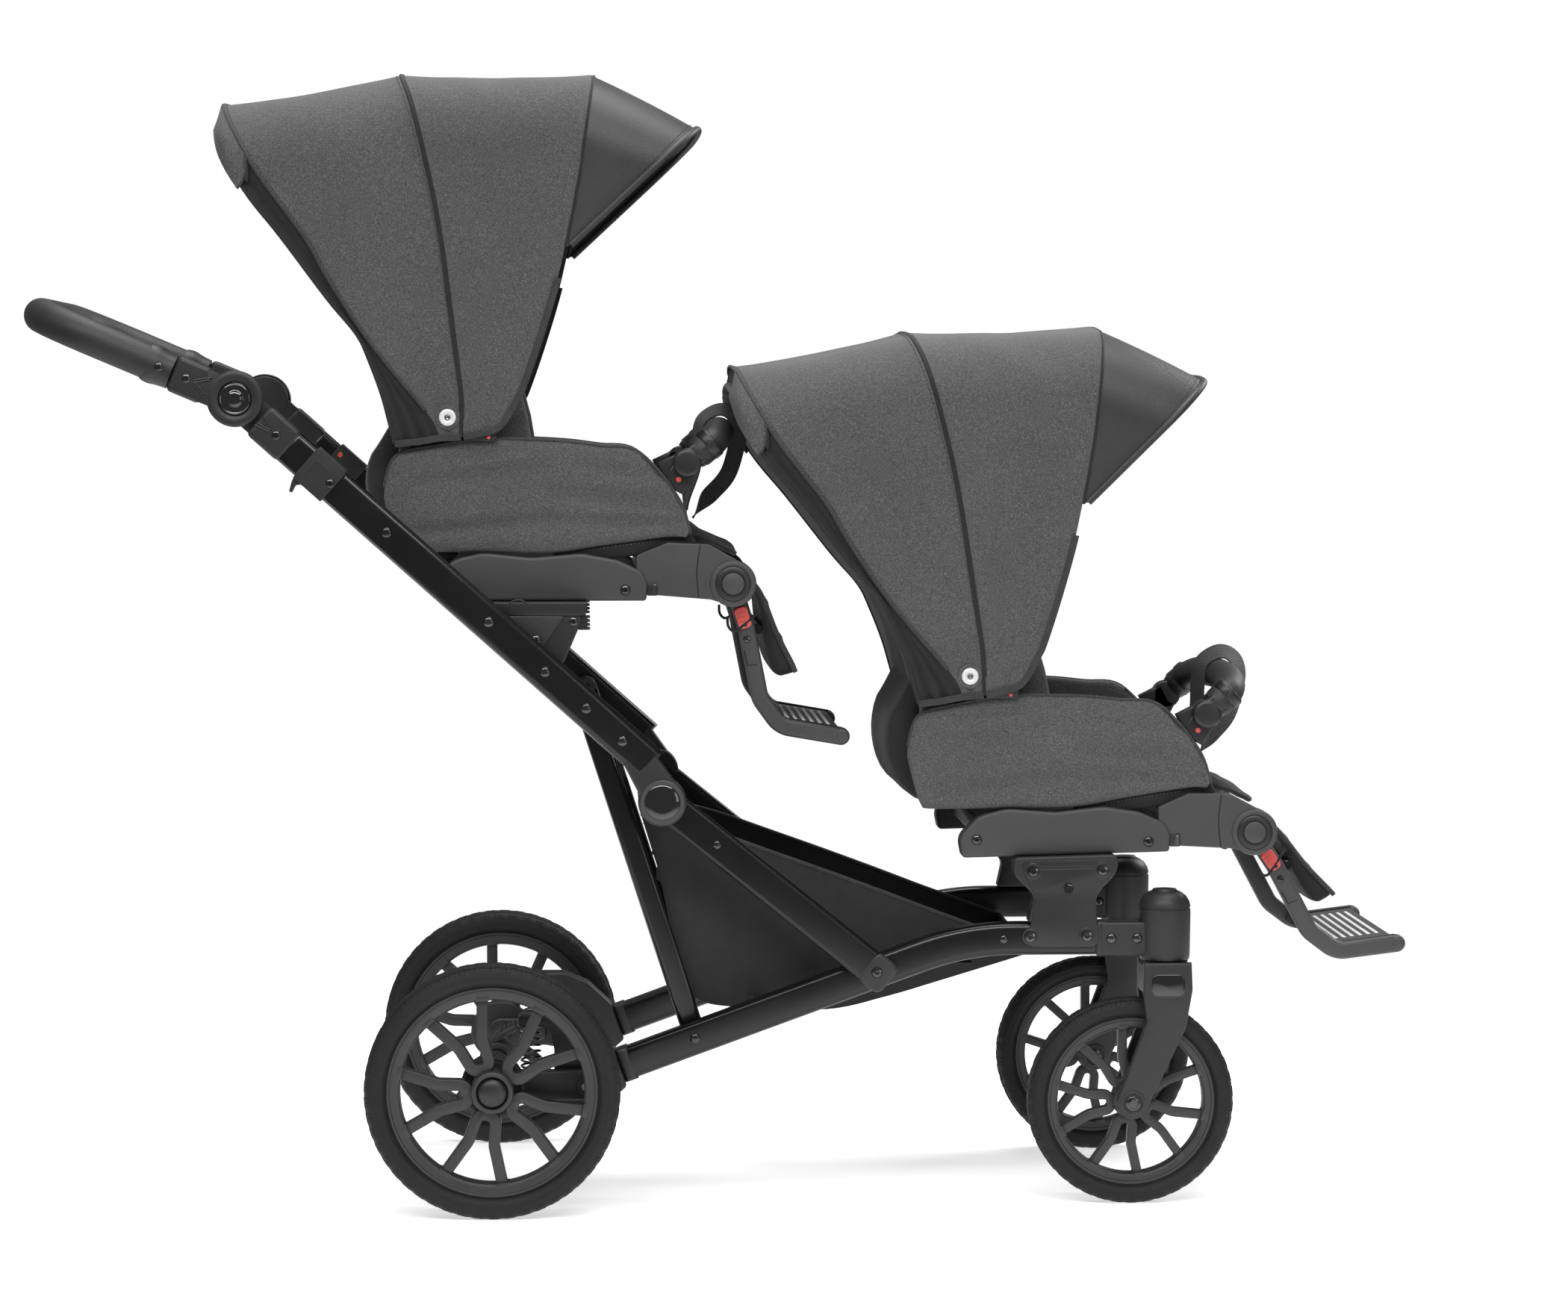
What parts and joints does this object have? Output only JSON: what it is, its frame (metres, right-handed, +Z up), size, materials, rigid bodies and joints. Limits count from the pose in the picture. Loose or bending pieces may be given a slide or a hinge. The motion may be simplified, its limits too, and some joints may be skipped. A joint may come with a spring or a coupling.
{
  "type": "double stroller",
  "caption": "Tandem double stroller with two seats, hoods, footrests, sprung rear axle, swivel front wheels and a folding frame.",
  "frame": {"origin": "centre of the box, on the ground", "axes": "+X forward, +Y to the stroller's left, +Z up"},
  "size_m": [1.6374, 0.608, 1.3509],
  "materials": {
    "satin_black": "satin black paint",
    "matte_plastic": "fine moulded grain, matte",
    "rim_plastic": "dark grey moulded, matte",
    "tyre_rubber": "matte rubber",
    "gloss_black": "polished",
    "spring_steel": "bare wire",
    "rivet_steel": "polished",
    "melange_cloth": "heathered woven cloth",
    "black_cloth": "plain woven cloth",
    "leatherette": "fine grained, satin",
    "coral": "satin"
  },
  "bodies": {
    "chassis": {"lower_tube_right": "satin_black", "lower_tube_left": "satin_black", "headset_right": "matte_plastic", "headset_left": "matte_plastic", "suspension_spring_right": "spring_steel", "suspension_spring_left": "spring_steel", "front_seat_mount": "matte_plastic", "rear_cross_member": "matte_plastic", "basket": "black_cloth"},
    "rear_axle": {"rear_axle": "matte_plastic"},
    "brake_pedal": {"brake_pedal": "matte_plastic"},
    "rear_wheel_right": {"rear_wheel_right": "rim_plastic", "rear_tyre_right": "tyre_rubber"},
    "wheel_release_right": {"wheel_release_right": "gloss_black"},
    "rear_wheel_left": {"rear_wheel_left": "rim_plastic", "rear_tyre_left": "tyre_rubber"},
    "wheel_release_left": {"wheel_release_left": "gloss_black"},
    "caster_right": {"front_fork_right": "matte_plastic"},
    "front_wheel_right": {"front_wheel_right": "rim_plastic", "front_tyre_right": "tyre_rubber"},
    "caster_left": {"front_fork_left": "matte_plastic"},
    "front_wheel_left": {"front_wheel_left": "rim_plastic", "front_tyre_left": "tyre_rubber"},
    "lower_link": {"lower_link_right": "satin_black", "lower_link_left": "satin_black", "hub_cross_tube": "satin_black"},
    "upper_frame": {"upper_tube_right": "satin_black", "upper_tube_left": "satin_black", "rear_dock_right": "matte_plastic", "rear_dock_left": "matte_plastic"},
    "struts": {"strut_right": "satin_black", "strut_left": "satin_black"},
    "handlebar": {"handlebar": "leatherette"},
    "handle_button_right": {"handle_button_right": "gloss_black"},
    "fold_slider_right": {"fold_slider_right": "matte_plastic"},
    "handle_button_left": {"handle_button_left": "gloss_black"},
    "fold_slider_left": {"fold_slider_left": "matte_plastic"},
    "rear_seat": {"rear_seat_frame": "matte_plastic", "rear_seat_shell": "melange_cloth"},
    "rear_backrest": {"rear_backrest": "black_cloth", "rear_hood_rear": "melange_cloth"},
    "rear_visor": {"rear_visor": "leatherette", "rear_hood_front": "melange_cloth"},
    "rear_bumper_bar": {"rear_bumper_bar": "leatherette"},
    "rear_footrest": {"rear_footrest": "matte_plastic", "rear_calf_pad": "black_cloth"},
    "rear_footrest_button_right": {"rear_footrest_button_right": "coral"},
    "rear_footrest_button_left": {"rear_footrest_button_left": "coral"},
    "front_seat": {"front_seat_frame": "matte_plastic", "front_seat_shell": "melange_cloth"},
    "front_backrest": {"front_backrest": "black_cloth", "front_hood_rear": "melange_cloth"},
    "front_visor": {"front_visor": "leatherette", "front_hood_front": "melange_cloth"},
    "front_bumper_bar": {"front_bumper_bar": "leatherette"},
    "front_footrest": {"front_footrest": "matte_plastic", "front_calf_pad": "black_cloth"},
    "front_footrest_button_right": {"front_footrest_button_right": "coral"},
    "front_footrest_button_left": {"front_footrest_button_left": "coral"}
  },
  "joints": [
    {"name": "rear_suspension", "type": "hinge", "parent": "chassis", "child": "rear_axle", "pos_m": [-0.15835, 0, 0.15], "axis": [0, 1, 0], "range_deg": [0, 8], "stiffness_Nm_per_rad": 120, "springref_deg": -6.88, "deforming": ["suspension_spring_right", "suspension_spring_left"]},
    {"name": "brake_pedal_press", "type": "hinge", "parent": "rear_axle", "child": "brake_pedal", "pos_m": [-0.26835, 0, 0.15], "axis": [0, 1, 0], "range_deg": [0, 25], "stiffness_Nm_per_rad": 0.4, "springref_deg": -11.46},
    {"name": "rear_wheel_spin_right", "type": "hinge", "parent": "rear_axle", "child": "rear_wheel_right", "pos_m": [-0.26835, -0.277, 0.15], "axis": [0, 1, 0], "continuous": true},
    {"name": "wheel_release_press_right", "type": "slide", "parent": "rear_wheel_right", "child": "wheel_release_right", "axis": [0, 1, 0], "range_m": [0, 0.003], "stiffness_N_per_m": 300, "springref_m": -0.003},
    {"name": "rear_wheel_spin_left", "type": "hinge", "parent": "rear_axle", "child": "rear_wheel_left", "pos_m": [-0.26835, 0.277, 0.15], "axis": [0, 1, 0], "continuous": true},
    {"name": "wheel_release_press_left", "type": "slide", "parent": "rear_wheel_left", "child": "wheel_release_left", "axis": [0, -1, 0], "range_m": [0, 0.003], "stiffness_N_per_m": 300, "springref_m": -0.003},
    {"name": "caster_swivel_right", "type": "hinge", "parent": "chassis", "child": "caster_right", "pos_m": [0.53135, -0.2, 0.2905], "axis": [0, 0, 1], "continuous": true},
    {"name": "front_wheel_spin_right", "type": "hinge", "parent": "caster_right", "child": "front_wheel_right", "pos_m": [0.49035, -0.2, 0.123], "axis": [0, 1, 0], "continuous": true},
    {"name": "caster_swivel_left", "type": "hinge", "parent": "chassis", "child": "caster_left", "pos_m": [0.53135, 0.2, 0.2905], "axis": [0, 0, 1], "continuous": true},
    {"name": "front_wheel_spin_left", "type": "hinge", "parent": "caster_left", "child": "front_wheel_left", "pos_m": [0.49035, 0.2, 0.123], "axis": [0, 1, 0], "continuous": true},
    {"name": "frame_fold", "type": "hinge", "parent": "chassis", "child": "lower_link", "pos_m": [0.18555, 0, 0.281], "axis": [0, 1, 0], "range_deg": [0, 95]},
    {"name": "fold_upper", "type": "hinge", "parent": "lower_link", "child": "upper_frame", "pos_m": [-0.06845, 0, 0.4852], "axis": [0, -1, 0], "range_deg": [0, 157.8]},
    {"name": "fold_strut", "type": "hinge", "parent": "chassis", "child": "struts", "pos_m": [-0.02935, 0, 0.201], "axis": [0, 1, 0], "range_deg": [0, 64.37]},
    {"name": "handle_angle", "type": "hinge", "parent": "upper_frame", "child": "handlebar", "pos_m": [-0.56575, 0, 0.9591], "axis": [0, 1, 0], "range_deg": [-35, 45]},
    {"name": "handle_button_press_right", "type": "slide", "parent": "handlebar", "child": "handle_button_right", "axis": [0, 1, 0], "range_m": [0, 0.003], "stiffness_N_per_m": 300, "springref_m": -0.003},
    {"name": "fold_slider_lift_right", "type": "slide", "parent": "upper_frame", "child": "fold_slider_right", "axis": [-0.7469, 0, 0.6649], "range_m": [0, 0.012], "stiffness_N_per_m": 250, "springref_m": -0.006},
    {"name": "handle_button_press_left", "type": "slide", "parent": "handlebar", "child": "handle_button_left", "axis": [0, -1, 0], "range_m": [0, 0.003], "stiffness_N_per_m": 300, "springref_m": -0.003},
    {"name": "fold_slider_lift_left", "type": "slide", "parent": "upper_frame", "child": "fold_slider_left", "axis": [-0.7469, 0, 0.6649], "range_m": [0, 0.012], "stiffness_N_per_m": 250, "springref_m": -0.006},
    {"name": "rear_seat_lift", "type": "slide", "parent": "chassis", "child": "rear_seat", "axis": [0, 0, 1], "range_m": [0, 0.901]},
    {"name": "rear_recline", "type": "hinge", "parent": "rear_seat", "child": "rear_backrest", "pos_m": [-0.36335, 0, 0.798], "axis": [0, -1, 0], "range_deg": [-10, 22]},
    {"name": "rear_hood_fold", "type": "hinge", "parent": "rear_backrest", "child": "rear_visor", "pos_m": [-0.32005, 0, 0.9373], "axis": [0, -1, 0], "range_deg": [0, 29], "deforming": ["rear_hood_front"]},
    {"name": "rear_bumper_swing", "type": "hinge", "parent": "rear_seat", "child": "rear_bumper_bar", "pos_m": [-0.03735, 0, 0.884], "axis": [0, -1, 0], "range_deg": [-20, 50]},
    {"name": "rear_footrest_swing", "type": "hinge", "parent": "rear_seat", "child": "rear_footrest", "pos_m": [0.01655, 0, 0.7406], "axis": [0, -1, 0], "range_deg": [-10, 12]},
    {"name": "rear_footrest_button_press_right", "type": "slide", "parent": "rear_footrest", "child": "rear_footrest_button_right", "axis": [0, 1, 0], "range_m": [0, 0.003], "stiffness_N_per_m": 300, "springref_m": -0.003},
    {"name": "rear_footrest_button_press_left", "type": "slide", "parent": "rear_footrest", "child": "rear_footrest_button_left", "axis": [0, -1, 0], "range_m": [0, 0.003], "stiffness_N_per_m": 300, "springref_m": -0.003},
    {"name": "front_seat_lift", "type": "slide", "parent": "chassis", "child": "front_seat", "axis": [0, 0, 1], "range_m": [0, 0.901]},
    {"name": "front_recline", "type": "hinge", "parent": "front_seat", "child": "front_backrest", "pos_m": [0.25811, 0, 0.49], "axis": [0, -1, 0], "range_deg": [-10, 0]},
    {"name": "front_hood_fold", "type": "hinge", "parent": "front_backrest", "child": "front_visor", "pos_m": [0.29775, 0, 0.63039], "axis": [0, -1, 0], "range_deg": [0, 29], "deforming": ["front_hood_front"]},
    {"name": "front_bumper_swing", "type": "hinge", "parent": "front_seat", "child": "front_bumper_bar", "pos_m": [0.58175, 0, 0.5845], "axis": [0, -1, 0], "range_deg": [-20, 50]},
    {"name": "front_footrest_swing", "type": "hinge", "parent": "front_seat", "child": "front_footrest", "pos_m": [0.63938, 0, 0.44256], "axis": [0, -1, 0], "range_deg": [-25, 50]},
    {"name": "front_footrest_button_press_right", "type": "slide", "parent": "front_footrest", "child": "front_footrest_button_right", "axis": [0, 1, 0], "range_m": [0, 0.003], "stiffness_N_per_m": 300, "springref_m": -0.003},
    {"name": "front_footrest_button_press_left", "type": "slide", "parent": "front_footrest", "child": "front_footrest_button_left", "axis": [0, -1, 0], "range_m": [0, 0.003], "stiffness_N_per_m": 300, "springref_m": -0.003}
  ],
  "couplings": [
    {"joint": "fold_upper", "follows": "frame_fold", "ratio": 1.6609},
    {"joint": "fold_strut", "follows": "frame_fold", "ratio": 0.6775},
    {"joint": "rear_seat_lift", "follows": "frame_fold", "m_per_rad": 0.5428},
    {"joint": "front_seat_lift", "follows": "frame_fold", "m_per_rad": 0.5428}
  ]
}
